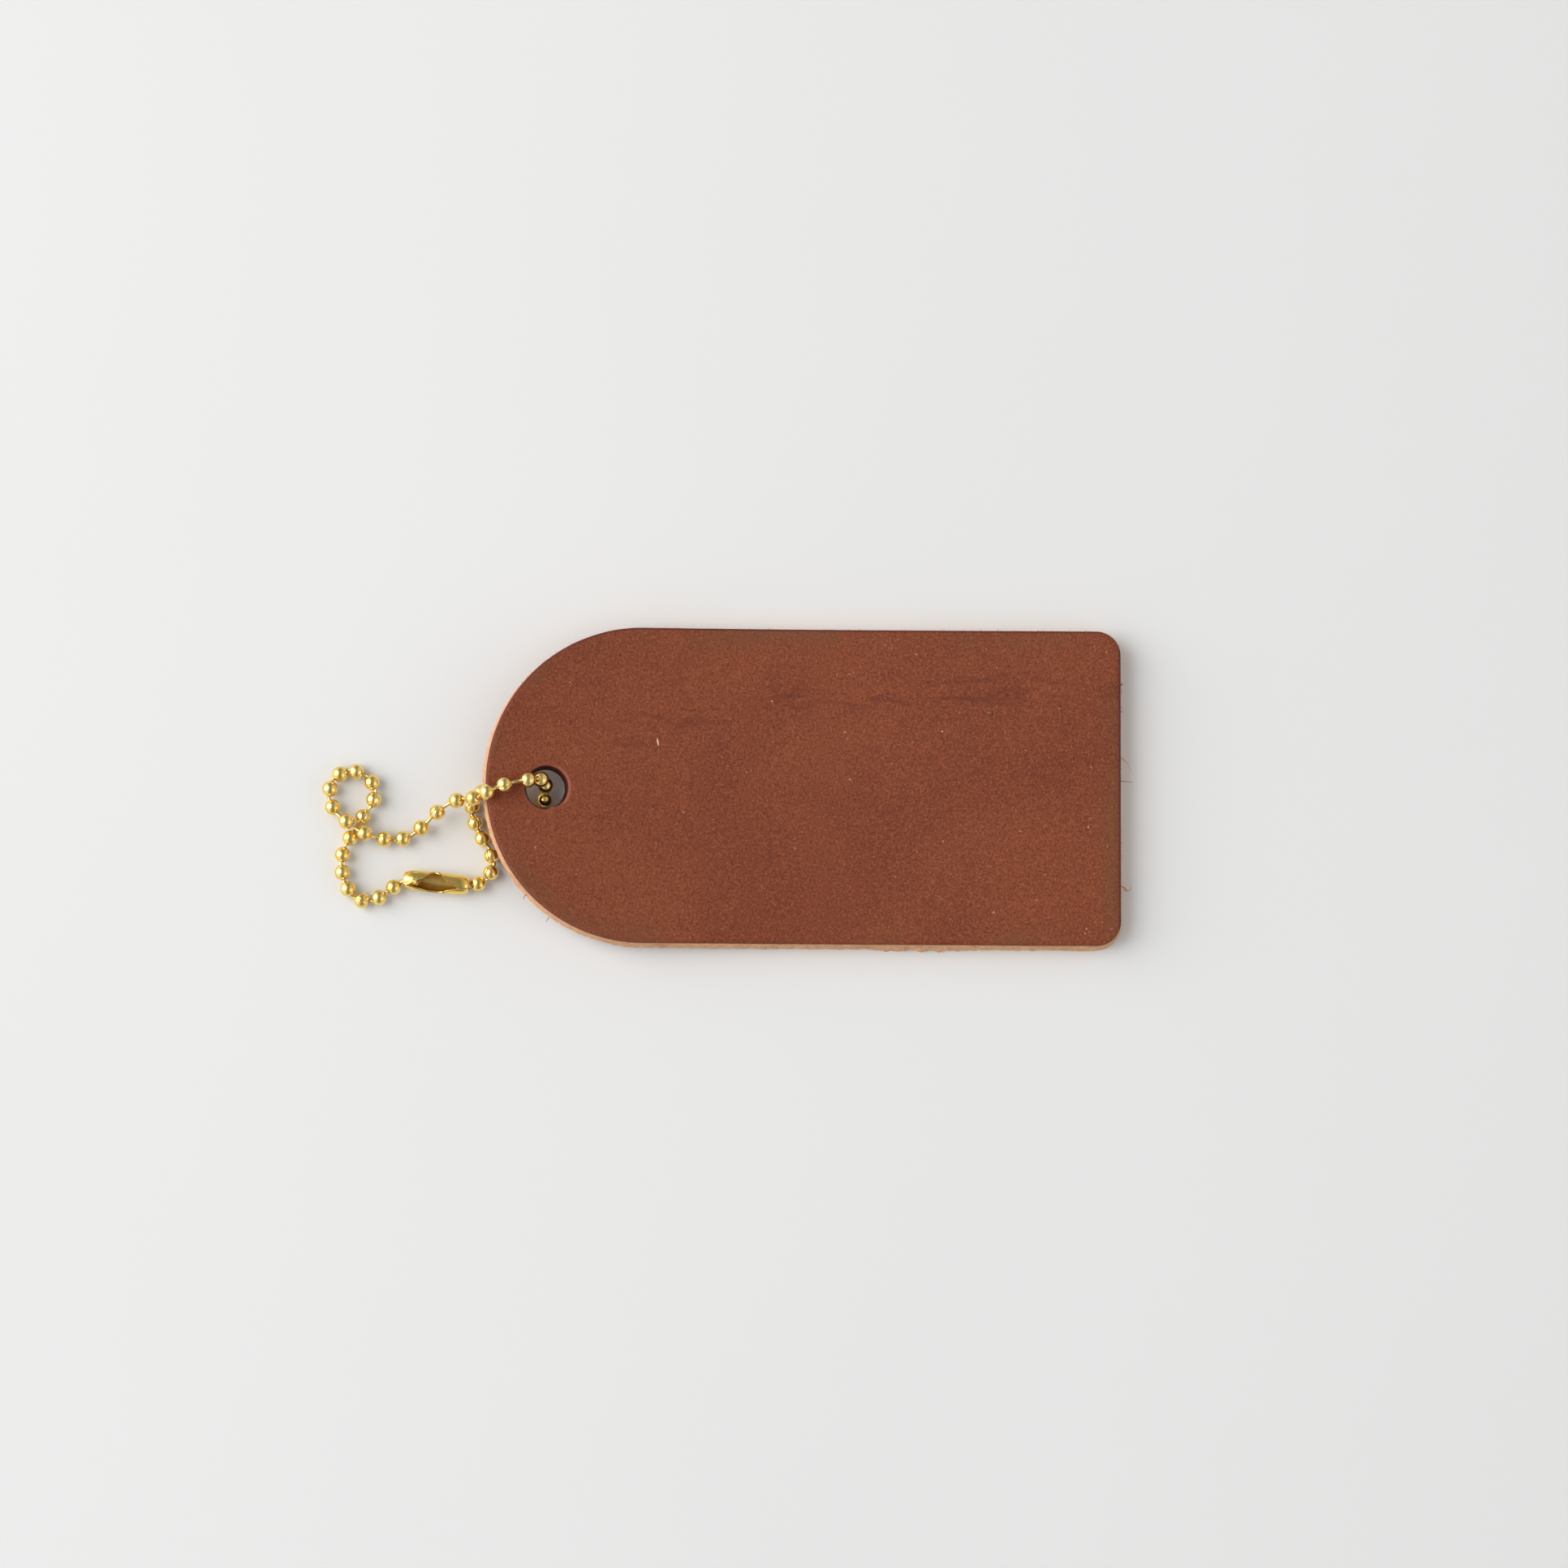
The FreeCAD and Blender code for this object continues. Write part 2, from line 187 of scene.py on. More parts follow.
# --- Materials -----------------------------------------------------------------------------------------
class Shader:
    """Builds one material's node tree round a Principled shader."""

    def __init__(self, name, **settings):
        self.material = bpy.data.materials.new(name)
        self.material.use_nodes = True
        self.nodes = self.material.node_tree.nodes
        self.links = self.material.node_tree.links
        self.main = self.nodes["Principled BSDF"]
        for socket, value in settings.items():
            self.main.inputs[socket.replace("_", " ")].default_value = value
        self.place = self.add("ShaderNodeTexCoord").outputs["Object"]

    def add(self, kind, values=None, **settings):
        made = self.nodes.new(kind)
        for key, value in settings.items():
            setattr(made, key, value)
        for key, value in (values or {}).items():
            self.put(made.inputs[key], value)
        return made

    def put(self, socket, value):
        if isinstance(value, bpy.types.NodeSocket):
            self.links.new(value, socket)
        else:
            socket.default_value = value

    def feed(self, socket, value):
        self.put(self.main.inputs[socket], value)

    def noise(self, scale, detail=3.0, roughness=0.55, at=None, distortion=0.0):
        values = {"Vector": at or self.place, "Scale": scale, "Detail": detail, "Roughness": roughness,
                  "Distortion": distortion}
        return self.add("ShaderNodeTexNoise", values).outputs["Fac"]

    def stretched(self, scales):
        return self.add("ShaderNodeMapping", {"Vector": self.place, "Scale": scales}).outputs["Vector"]

    def attribute(self, name):
        return self.add("ShaderNodeAttribute", attribute_name=name).outputs["Fac"]

    def spread(self, value, low, high, to_low=0.0, to_high=1.0):
        values = {"Value": value, "From Min": low, "From Max": high, "To Min": to_low, "To Max": to_high}
        return self.add("ShaderNodeMapRange", values, interpolation_type="SMOOTHSTEP").outputs["Result"]

    def math(self, operation, first, second):
        made = self.add("ShaderNodeMath", operation=operation)
        self.put(made.inputs[0], first)
        self.put(made.inputs[1], second)
        return made.outputs[0]

    def mix(self, share, first, second):
        made = self.add("ShaderNodeMix", data_type="RGBA")
        for socket, value in zip((0, 6, 7), (share, first, second)):
            self.put(made.inputs[socket], value)
        return made.outputs[2]

    def bump(self, height, strength, depth, before=None):
        made = self.add("ShaderNodeBump", {"Height": height, "Strength": strength, "Distance": depth * MM})
        if before is not None:
            self.links.new(before, made.inputs["Normal"])
        return made.outputs["Normal"]

    def ellipse(self, x, y, half_length, half_width, turn):
        """1 in a small soft-edged ellipse on the tag's face, 0 outside it; `turn` in degrees from +X."""
        middle = (x * MM, y * MM, 0)
        moved = self.add("ShaderNodeVectorMath", {0: self.place, 1: middle}, operation="SUBTRACT")
        turning = {"Vector": moved.outputs[0], "Angle": math.radians(-turn)}
        spun = self.add("ShaderNodeVectorRotate", turning, rotation_type="Z_AXIS")
        sizes = (1 / (half_length * MM), 1 / (half_width * MM), 0)
        scaled = self.add("ShaderNodeVectorMath", {0: spun.outputs[0], 1: sizes}, operation="MULTIPLY")
        length = self.add("ShaderNodeVectorMath", {0: scaled.outputs[0]}, operation="LENGTH")
        return self.spread(length.outputs["Value"], 0.7, 1.1, 1.0, 0.0)


def rgb(red, green, blue):
    """Linear colour of an 8-bit sRGB colour."""
    return tuple(((c / 255 + 0.055) / 1.055) ** 2.4 for c in (red, green, blue)) + (1.0,)


# Marks on the grain face: middle x, y, half length, half width, turn in degrees, colour, strength.
MARKS = [
    (-52.0, 6.6, 0.62, 0.11, -80, (240, 205, 185), 0.95),
    (-1.4, 11.2, 0.5, 0.16, 75, (70, 34, 24), 0.8),
    (-2.0, 11.5, 0.32, 0.14, -20, (170, 120, 96), 0.6),
    (-56.3, -7.5, 0.9, 0.07, -55, (165, 105, 80), 0.45),
    (-36.1, -11.7, 0.7, 0.06, 50, (168, 110, 86), 0.4),
    (-9.0, 8.6, 0.17, 0.12, 30, (225, 170, 150), 0.8),
    (-27.0, 9.5, 1.3, 0.06, -42, (160, 96, 70), 0.35),
    (-34.8, 13.0, 0.14, 0.12, 0, (235, 180, 160), 0.7),
]


def grain_material():
    """Oiled brown grain face: fine pebble, mottling, growth lines, burnished edge and a few marks, with
    painted highlight and shade on the pebble, painted shade in the creases and a painted highlight on the
    hole's rim.
    """
    s = Shader("leather_grain", Roughness=0.56, Specular_IOR_Level=0.34)
    pebble = s.noise(3000, 3.0, 0.7)
    pores = s.add("ShaderNodeTexVoronoi", {"Vector": s.place, "Scale": 3100}).outputs["Distance"]
    mottle = s.noise(38, 5.0, 0.62)
    colour = s.mix(s.spread(mottle, 0.36, 0.64), rgb(123, 56, 28), rgb(133, 64, 33))
    # paler on the pebble tops and darker between them: painted highlight and painted shade of the grain's
    # relief, from the same pebble as the bump
    colour = s.mix(s.math("MULTIPLY", s.spread(pebble, 0.50, 0.68), 0.6), colour, rgb(166, 94, 58))
    colour = s.mix(s.math("MULTIPLY", s.spread(pebble, 0.50, 0.33), 0.65), colour, rgb(80, 30, 14))
    # growth lines: thin dark streaks, nearly along the tag, where the hide was wrinkled; their dark colour is
    # painted shade in the creases
    lines = s.noise(230, 4.0, 0.7, s.stretched((0.5, 2.4, 1)), 0.6)
    creased = s.attribute("wrinkle")
    crease = s.math("MULTIPLY", s.spread(lines, 0.50, 0.40), creased)
    colour = s.mix(s.math("MULTIPLY", crease, 0.8), colour, rgb(96, 36, 22))
    # greenish tinge in patches towards the edges, and single pale flecks
    rim = s.spread(s.attribute("edge"), 0.3, 4.5, 1.0, 0.0)
    olive = s.math("MULTIPLY", rim, s.spread(s.noise(70, 3.0), 0.42, 0.66))
    colour = s.mix(s.math("MULTIPLY", olive, 0.45), colour, rgb(108, 70, 40))
    fleck = s.spread(s.noise(2100, 0.0, 0.5), 0.855, 0.89)
    colour = s.mix(s.math("MULTIPLY", fleck, 0.6), colour, rgb(214, 160, 132))
    # burnished line along the cut; round the hole paler and shinier, a burnished collar whose pale colour is
    # partly a painted highlight on the rim curving into the hole
    line = s.spread(s.attribute("edge"), 0.05, 0.32, 1.0, 0.0)
    colour = s.mix(s.math("MULTIPLY", line, 0.75), colour, rgb(92, 30, 20))
    collar = s.spread(s.attribute("hole_edge"), 0.05, 0.75, 1.0, 0.0)
    colour = s.mix(s.math("MULTIPLY", collar, 0.45), colour, rgb(176, 104, 82))
    for x, y, length, width, turn, tint, strength in MARKS:
        mask = s.ellipse(x, y, length, width, turn)
        colour = s.mix(s.math("MULTIPLY", mask, strength), colour, rgb(*tint))
    s.feed("Base Color", colour)
    polish = s.math("ADD", mottle, s.math("MULTIPLY", collar, -0.6))
    s.feed("Roughness", s.spread(polish, 0.2, 0.75, 0.44, 0.62))
    normal = s.bump(pebble, 0.9, 0.09)
    normal = s.bump(pores, 0.2, 0.035, normal)
    normal = s.bump(crease, 0.6, -0.11, normal)
    s.feed("Normal", normal)
    return s.material


def raw_wall_material():
    """Cut edge of veg-tanned leather: pale fibres in layers, darker just under the grain."""
    s = Shader("leather_cut_wall", Roughness=0.88, Specular_IOR_Level=0.18)
    height = s.attribute("height")
    layered = s.add("ShaderNodeCombineXYZ", {"Z": s.math("MULTIPLY", height, 7.0)})
    flat = s.stretched((900, 900, 0))
    where = s.add("ShaderNodeVectorMath", {0: flat, 1: layered.outputs[0]}, operation="ADD").outputs[0]
    layers = s.noise(1.0, 4.0, 0.7, where, 0.4)
    fuzz = s.noise(3200, 3.0, 0.7)
    colour = s.mix(s.spread(layers, 0.36, 0.62), rgb(192, 133, 92), rgb(234, 190, 147))
    colour = s.mix(s.math("MULTIPLY", s.spread(fuzz, 0.55, 0.75), 0.5), colour, rgb(247, 214, 180))
    stain = s.spread(s.noise(120, 3.0), 0.55, 0.7)
    colour = s.mix(s.math("MULTIPLY", stain, 0.3), colour, rgb(170, 100, 66))
    colour = s.mix(s.math("MULTIPLY", s.spread(height, 2.9, 3.25), 0.7), colour, rgb(128, 56, 38))
    s.feed("Base Color", colour)
    normal = s.bump(layers, 0.7, 0.12)
    s.feed("Normal", s.bump(fuzz, 0.6, 0.05, normal))
    return s.material


def flesh_material():
    """Underside: brushed flesh side, pale brown and fibrous."""
    s = Shader("leather_flesh_side", Roughness=0.93, Specular_IOR_Level=0.12, Sheen_Weight=0.15)
    fibres = s.noise(900, 5.0, 0.75, s.stretched((1.0, 0.45, 1.0)), 1.2)
    patches = s.noise(55, 4.0, 0.6)
    colour = s.mix(s.spread(patches, 0.35, 0.65), rgb(168, 106, 70), rgb(190, 128, 88))
    colour = s.mix(s.spread(fibres, 0.48, 0.72, 0.0, 0.6), colour, rgb(222, 168, 124))
    s.feed("Base Color", colour)
    s.feed("Normal", s.bump(fibres, 0.8, 0.14))
    return s.material


def fibre_material():
    """Loose hairs: dyed reddish brown, some of them paler."""
    s = Shader("leather_fibre", Roughness=0.8, Specular_IOR_Level=0.2)
    shade = s.spread(s.noise(160, 2.0), 0.40, 0.62)
    s.feed("Base Color", s.mix(shade, rgb(140, 74, 52), rgb(204, 146, 108)))
    return s.material


def hole_wall_material():
    """Wall of the punched hole: dark reddish brown with streaks, the darkness painted shade inside the hole,
    lighter near its top.
    """
    s = Shader("leather_hole_wall", Roughness=0.7, Specular_IOR_Level=0.25)
    streaks = s.noise(520, 4.0, 0.7, s.stretched((1.6, 1.6, 0.35)))
    # dark streaky colour of the hole wall: painted shade inside the hole
    colour = s.mix(s.spread(streaks, 0.35, 0.66), rgb(44, 17, 14), rgb(88, 38, 29))
    top = s.spread(s.attribute("height"), 2.9, 3.45)
    # lighter near the top of the wall, where the painted shade fades
    colour = s.mix(s.math("MULTIPLY", top, 0.6), colour, rgb(150, 82, 62))
    s.feed("Base Color", colour)
    s.feed("Normal", s.bump(streaks, 0.6, 0.1))
    return s.material


def brass_material(name, light, deep, roughness):
    """Polished brass with slight tarnish patches and fine handling scratches."""
    s = Shader(name, Metallic=1.0)
    cloud = s.noise(620, 4.0, 0.6)
    colour = s.mix(s.spread(cloud, 0.35, 0.68), deep, light)
    s.feed("Base Color", colour)
    rub = s.noise(2600, 4.0, 0.7, s.stretched((1.0, 0.22, 0.5)), 0.5)
    s.feed("Roughness", s.spread(rub, 0.3, 0.75, roughness - 0.05, roughness + 0.11))
    s.feed("Normal", s.bump(rub, 0.05, 0.02))
    return s.material


GRAIN = grain_material()
RAW_WALL = raw_wall_material()
FLESH = flesh_material()
HOLE_WALL = hole_wall_material()
FIBRE = fibre_material()
BEAD_BRASS = brass_material("brass_bead", (0.99, 0.76, 0.30, 1), (0.92, 0.65, 0.18, 1), 0.19)
PIN_BRASS = brass_material("brass_pin", (0.90, 0.68, 0.27, 1), (0.70, 0.48, 0.17, 1), 0.24)
COUPLING_BRASS = brass_material("brass_coupling", (0.99, 0.74, 0.24, 1), (0.93, 0.65, 0.16, 1), 0.17)
# darker, rougher copy of the coupling's brass for the inside of the tube: painted shade inside the coupling
COUPLING_SHADED_INSIDE = brass_material("brass_coupling_inside_painted_shade", (0.80, 0.53, 0.17, 1), (0.60, 0.37, 0.10, 1),
                                 0.32)


# --- Leather tag ---------------------------------------------------------------------------------------
def bent(x, y, height):
    """Row-frame place of a point of the flat pattern once the leather has curled."""
    if x >= CURL_START_X:
        return Vector((x, y, height))
    angle = (CURL_START_X - x) / CURL_RADIUS
    radius = CURL_RADIUS - height
    return Vector((CURL_START_X - radius * math.sin(angle), y, CURL_RADIUS - radius * math.cos(angle)))


def tag_outline():
    """Points round the underside's edge as (x, y, outward x, outward y)."""
    half, corner, right, left = TAG_HALF_WIDTH, TAG_CORNER_RADIUS, TAG_RIGHT, ROUND_END_X
    found = []

    def straight(x0, y0, x1, y1, out_x, out_y):
        steps = round(math.hypot(x1 - x0, y1 - y0) / OUTLINE_STEP)
        for k in range(steps):
            found.append((x0 + (x1 - x0) * k / steps, y0 + (y1 - y0) * k / steps, out_x, out_y))

    def arc(x, y, radius, start, end):
        steps = round(radius * math.radians(end - start) / OUTLINE_STEP)
        for k in range(steps):
            turn = math.radians(start + (end - start) * k / steps)
            out_x, out_y = math.cos(turn), math.sin(turn)
            found.append((x + radius * out_x, y + radius * out_y, out_x, out_y))

    straight(left, -half, right - corner, -half, 0, -1)
    arc(right - corner, corner - half, corner, -90, 0)
    straight(right, corner - half, right, half - corner, 1, 0)
    arc(right - corner, half - corner, corner, 0, 90)
    straight(right - corner, half, left, half, 0, 1)
    arc(left, 0, half, 90, 270)
    return found


def leaned(inset, out_x, out_y):
    """Inset of the wall on each side: the blade leaned, so the near wall slopes and the far one is steep."""
    return inset * (1 - 0.5 * max(out_x, 0) - 0.5 * max(out_y, 0) + 0.35 * max(-out_y, 0))


def wall_push(x, y, height):
    """How far the fibres of the cut wall stand out of its smooth shape."""
    fade = 1 - smooth_step(2.7, 3.3, height)
    low = 1 - smooth_step(0.1, 1.3, height)
    ragged = smooth_step(RAGGED_FROM - 2, RAGGED_FROM + 1, x) - smooth_step(RAGGED_TO - 1, RAGGED_TO + 2, x)
    ragged *= 1 if y < 0 else 0
    layers = noise.fractal(Vector((x * 0.35, y * 0.35, height * 4.5)), 0.8, 2.0, 3) * 0.05
    fibres = noise.fractal(Vector((x * 2.1, y * 2.1, height * 2.0 + 9)), 0.6, 2.0, 3) * (0.035 + 0.07 * low)
    tufts = max(noise.noise(Vector((x * 1.7, y * 1.7, 31 + height))), 0) * low
    torn = max(noise.fractal(Vector((x * 0.8, 5.0, height * 0.7)), 0.7, 2.2, 4) + 0.25, 0) * ragged
    foot = NEAR_FOOT * (1 - smooth_step(0.5, 2.6, height)) * smooth_step(5, -18, y) * smooth_step(-66, -50, x)
    torn *= 1 - smooth_step(0.8, 2.4, height)
    return fade * (layers + fibres + tufts * 0.14 + torn * RAGGED_PUSH + foot)


def wrinkled(x, y):
    """1 along the middle of the band of growth wrinkles, fading to 0 beside it."""
    middle = through(WRINKLE_PATH, x)
    width = 2.6 + 1.1 * noise.noise(Vector((x * 0.12, 3.0, 0)))
    faint = 0.55 + 0.45 * noise.noise(Vector((x * 0.09, 8.0, 0)))
    ends = smooth_step(-70, -62, x)
    return ends * faint * math.exp(-(((y - middle) / width) ** 2))


def face_height(x, y):
    """Height of the grain face, with its slow waves and the growth wrinkles."""
    wave = noise.noise(Vector((x * 0.07, y * 0.07, 1.0))) * 0.02
    folds = noise.fractal(Vector((x * 0.55, y * 1.9, 4.0)), 0.8, 2.0, 3) * 0.035 * wrinkled(x, y)
    calm = smooth_step(0.0, 1.5, math.hypot(x - HOLE_X, y - HOLE_Y) - HOLE_RADIUS - HOLE_RINGS[0][1])
    return TAG_THICKNESS - 0.02 + (wave - abs(folds)) * calm


def inside_outline(x, y, inset):
    """Whether a point of the flat pattern is inside the outline by `inset`, leaned on the near side."""
    inset = leaned(inset, 0, -1) if y < 0 else inset
    half, right = TAG_HALF_WIDTH - inset, TAG_RIGHT - inset
    if x < ROUND_END_X:
        return math.hypot(x - ROUND_END_X, y) < half
    corner = TAG_CORNER_RADIUS - inset
    over_x, over_y = x - (right - corner), abs(y) - (half - corner)
    if over_x > 0 and over_y > 0:
        return math.hypot(over_x, over_y) < corner
    return x < right and abs(y) < half


def edge_distance(x, y):
    """Distance in from the outline of the flat pattern."""
    if x < ROUND_END_X:
        return TAG_HALF_WIDTH - math.hypot(x - ROUND_END_X, y)
    return min(TAG_RIGHT - x, TAG_HALF_WIDTH - abs(y))


def filled(points, rim, hole_rim, step, inset, hole_gap, height_at):
    """Fills the tag's face between two rims with small triangles, adding points to `points`."""
    flat = [Vector(points[k][:2]) for k in rim + hole_rim]
    near = 0.55 * step
    columns = int((TAG_RIGHT - ROUND_END_X + TAG_HALF_WIDTH) / step) + 1
    rows = int(2 * TAG_HALF_WIDTH / step) + 1
    for column in range(columns):
        for row in range(rows):
            x = TAG_RIGHT - (column + 0.5 * (row % 2)) * step + rng.uniform(-0.18, 0.18) * step
            y = row * step * 0.98 - TAG_HALF_WIDTH + rng.uniform(-0.18, 0.18) * step
            hole = math.hypot(x - HOLE_X, y - HOLE_Y) - HOLE_RADIUS
            if inside_outline(x, y, inset + near) and hole > hole_gap + near:
                flat.append(Vector((x, y)))
    count, hole_count = len(rim), len(hole_rim)
    loops = [(k, (k + 1) % count) for k in range(count)]
    loops += [(count + k, count + (k + 1) % hole_count) for k in range(hole_count)]
    made = geometry.delaunay_2d_cdt(flat, loops, [], 1, 1e-5)
    numbers = []
    for place, sources in zip(made[0], made[3]):
        if sources and sources[0] < count + hole_count:
            numbers.append((rim + hole_rim)[sources[0]])
        else:
            numbers.append(len(points))
            points.append((place.x, place.y, height_at(place.x, place.y)))
    faces = []
    for corners in made[2]:
        middle = sum((made[0][c] for c in corners), Vector((0, 0))) / len(corners)
        if math.hypot(middle.x - HOLE_X, middle.y - HOLE_Y) > HOLE_RADIUS:
            faces.append(tuple(numbers[c] for c in corners))
    return faces


def flesh_height(x, y):
    """The underside lies on its highest fibres, and dips a little between them."""
    return 0.05 + 0.05 * noise.fractal(Vector((x * 0.9, y * 0.5, 2.0)), 0.7, 2.0, 3)


def leather_tag():
    """The tag as one closed skin: grain face, rolled edge, cut wall, flesh side and hole wall."""
    outline = tag_outline()
    points, faces, kinds, rings = [], [], [], []
    for height, inset in WALL_RINGS:
        ring = []
        for x, y, out_x, out_y in outline:
            push = wall_push(x, y, height) - leaned(inset, out_x, out_y)
            ring.append(len(points))
            points.append((x + out_x * push, y + out_y * push, height))
        rings.append(ring)
    for level, (lower, upper) in enumerate(zip(rings, rings[1:])):
        faces += bridge(lower, upper)
        kinds += [0 if WALL_RINGS[level][0] >= GRAIN_FROM else 1] * len(outline)
    hole_rings = []
    for height, flare in HOLE_RINGS:
        ring = []
        for k in range(HOLE_STEPS):
            turn = math.tau * k / HOLE_STEPS
            rough = noise.fractal(Vector((math.cos(turn) * 4, math.sin(turn) * 4, height * 1.5)), 0.7, 2.0, 3)
            radius = HOLE_RADIUS + flare + 0.03 * rough * (1 - smooth_step(3.0, 3.5, height))
            ring.append(len(points))
            points.append((HOLE_X + radius * math.cos(turn), HOLE_Y + radius * math.sin(turn), height))
        hole_rings.append(ring)
    for level, (upper, lower) in enumerate(zip(hole_rings, hole_rings[1:])):
        faces += bridge(upper, lower)
        kinds += [0 if HOLE_RINGS[level + 1][0] >= HOLE_GRAIN_FROM else 3] * HOLE_STEPS
    top = filled(points, rings[-1], hole_rings[0], FACE_STEP, WALL_RINGS[-1][1], HOLE_RINGS[0][1],
                 face_height)
    faces += top
    kinds += [0] * len(top)
    under = filled(points, rings[0], hole_rings[-1], FLESH_STEP, WALL_RINGS[0][1], HOLE_RINGS[-1][1],
                   flesh_height)
    faces += [face[::-1] for face in under]
    kinds += [2] * len(under)
    tag = new_piece("leather_tag_skin", [bent(*p) for p in points], faces,
                    [GRAIN, RAW_WALL, FLESH, HOLE_WALL], kinds)
    point_attribute(tag, "height", [p[2] for p in points])
    point_attribute(tag, "edge", [max(edge_distance(p[0], p[1]) - 0.3, 0) for p in points])
    point_attribute(tag, "hole_edge",
                    [abs(math.hypot(p[0] - HOLE_X, p[1] - HOLE_Y) - HOLE_RADIUS) for p in points])
    point_attribute(tag, "wrinkle", [wrinkled(p[0], p[1]) for p in points])
    return finish_piece(tag, "tag", ["leather_tag"])


def tube(points, faces, path, radius, sides=6):
    """Adds a thin closed tube along `path`, tapering to its far end."""
    rings = []
    for k, centre in enumerate(path):
        along = (path[min(k + 1, len(path) - 1)] - path[max(k - 1, 0)]).normalized()
        side = along.cross(UP if abs(along.z) < 0.9 else Vector((1, 0, 0))).normalized()
        other = along.cross(side)
        thick = radius * (1 - 0.65 * k / (len(path) - 1))
        rings.append(list(range(len(points), len(points) + sides)))
        for n in range(sides):
            turn = math.tau * n / sides
            points.append(centre + side * math.cos(turn) * thick + other * math.sin(turn) * thick)
    for lower, upper in zip(rings, rings[1:]):
        faces.extend(bridge(lower, upper))
    faces.append(tuple(rings[0][::-1]))
    faces.append(tuple(rings[-1]))


def hair(points, faces, start, turn, length, curve, radius, rise=0.0):
    """One loose fibre from `start`: it heads `turn` degrees from +X and curves by `curve` degrees."""
    steps = 12
    place = Vector(start)
    path = [place.copy()]
    for k in range(steps):
        heading = math.radians(turn + curve * (k + 0.5) / steps)
        place += Vector((math.cos(heading), math.sin(heading), rise / length)) * length / steps
        path.append(place.copy())
    tube(points, faces, path, radius)


def loose_fibres():
    """Hairs and crumbs that hang on the cut edges."""
    points, faces = [], []
    # the ones that show: start, heading, length, curve, radius
    hair(points, faces, (17.9, 5.0, 2.4), -28, 3.0, -46, 0.07)
    hair(points, faces, (17.9, 1.3, 2.0), 2, 2.1, -14, 0.075)
    hair(points, faces, (18.0, -14.6, 1.8), -5, 1.5, -55, 0.11)
    hair(points, faces, (18.6, -15.0, 1.9), -70, 1.9, 200, 0.08)
    hair(points, faces, (18.0, 15.9, 2.2), 10, 0.55, 60, 0.13)
    hair(points, faces, (18.0, 15.0, 2.0), -30, 0.45, 40, 0.08)
    for x, y in ((-71.6, -16.6), (-68.1, -20.0)):
        hair(points, faces, (x, y, 4.4), 215, 0.9, 50, 0.06)
    for x in (-35.2, -3.0, 5.7, 12.9):
        hair(points, faces, (x, TAG_HALF_WIDTH - 0.25, 2.0), 80, 0.55, 70, 0.06)
    outline = tag_outline()
    for _ in range(LOOSE_FIBRES):
        x, y, out_x, out_y = outline[rng.randrange(len(outline))]
        height = rng.uniform(0.3, 2.6)
        start = bent(x - out_x * 0.12, y - out_y * 0.12, height)
        heading = math.degrees(math.atan2(out_y, out_x)) + rng.uniform(-65, 65)
        hair(points, faces, start, heading, rng.uniform(0.2, 0.62), rng.uniform(-90, 90),
             rng.uniform(0.015, 0.04), rng.uniform(-0.2, 0.1))
    fibres = new_piece("leather_loose_fibres", points, faces, [FIBRE])
    return finish_piece(fibres, "tag")


# --- Ball chain ----------------------------------------------------------------------------------------
def bead_centres():
    boxes = [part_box("bead_%02d" % number) for number in range(1, BEAD_COUNT + 1)]
    return [(low + high) / 2 / MM for low, high in boxes]


CENTRES = bead_centres()
COUPLING_DIRECTION = (CENTRES[-1] - CENTRES[0]).normalized()


def hole_reach():
    """From a bead's centre to the middle of its hole's wall."""
    inner_end = math.sqrt((BEAD_RADIUS - BEAD_WALL) ** 2 - BEAD_HOLE_RADIUS ** 2)
    outer_end = math.sqrt(BEAD_RADIUS ** 2 - BEAD_HOLE_RADIUS ** 2)
    return (inner_end + outer_end) / 2


def settled_axes():
    """Direction of each bead's holes, by the rule of the CAD part: it lies easily between its two pins."""
    count = len(CENTRES)
    reach = hole_reach()
    axes = []
    for k in range(count):
        axes.append((CENTRES[min(k + 1, count - 1)] - CENTRES[max(k - 1, 0)]).normalized())
    for _ in range(AXIS_PASSES):
        pins = []
        for k in range(count - 1):
            start, end = CENTRES[k] + axes[k] * reach, CENTRES[k + 1] - axes[k + 1] * reach
            pins.append((end - start).normalized())
        pins = [-COUPLING_DIRECTION] + pins + [-COUPLING_DIRECTION]
        for k in range(count):
            wanted = (pins[k] + pins[k + 1]).normalized()
            axes[k] = (axes[k] * (1 - AXIS_EASING) + wanted * AXIS_EASING).normalized()
    return axes


AXES = settled_axes()


def placing(centre, direction, roll=0.0):
    """Matrix that turns +Z to `direction` after a roll about it, and moves the origin to `centre`."""
    turn = direction.to_track_quat("Z", "Y").to_matrix().to_4x4()
    return Matrix.Translation(centre) @ turn @ Matrix.Rotation(roll, 4, "Z")


def bead_profile():
    """(radius, height, seam share) from the top hole over the outside to the bottom one and back inside."""
    inner = BEAD_RADIUS - BEAD_WALL
    steep = math.acos(BEAD_HOLE_RADIUS / BEAD_RADIUS)
    steep_inner = math.acos(BEAD_HOLE_RADIUS / inner)
    outside = [math.radians(a) for a in range(-66, 67, 6)]
    inner_end, outer_end = inner * math.sin(steep_inner), BEAD_RADIUS * math.sin(steep)
    rows = [(BEAD_HOLE_RADIUS, inner_end, 0.0),
            (BEAD_HOLE_RADIUS - 0.01, (inner_end + outer_end) / 2, 0.0),
            (BEAD_HOLE_RADIUS + 0.02, outer_end - 0.012, 0.3)]
    rows += [(BEAD_RADIUS * math.cos(a), BEAD_RADIUS * math.sin(a), 1.0) for a in reversed(outside)]
    rows += [(radius, -height, share) for radius, height, share in reversed(rows[:3])]
    rows += [(inner * math.cos(a), inner * math.sin(a), 0.0) for a in outside[1:-1:2]]
    return rows


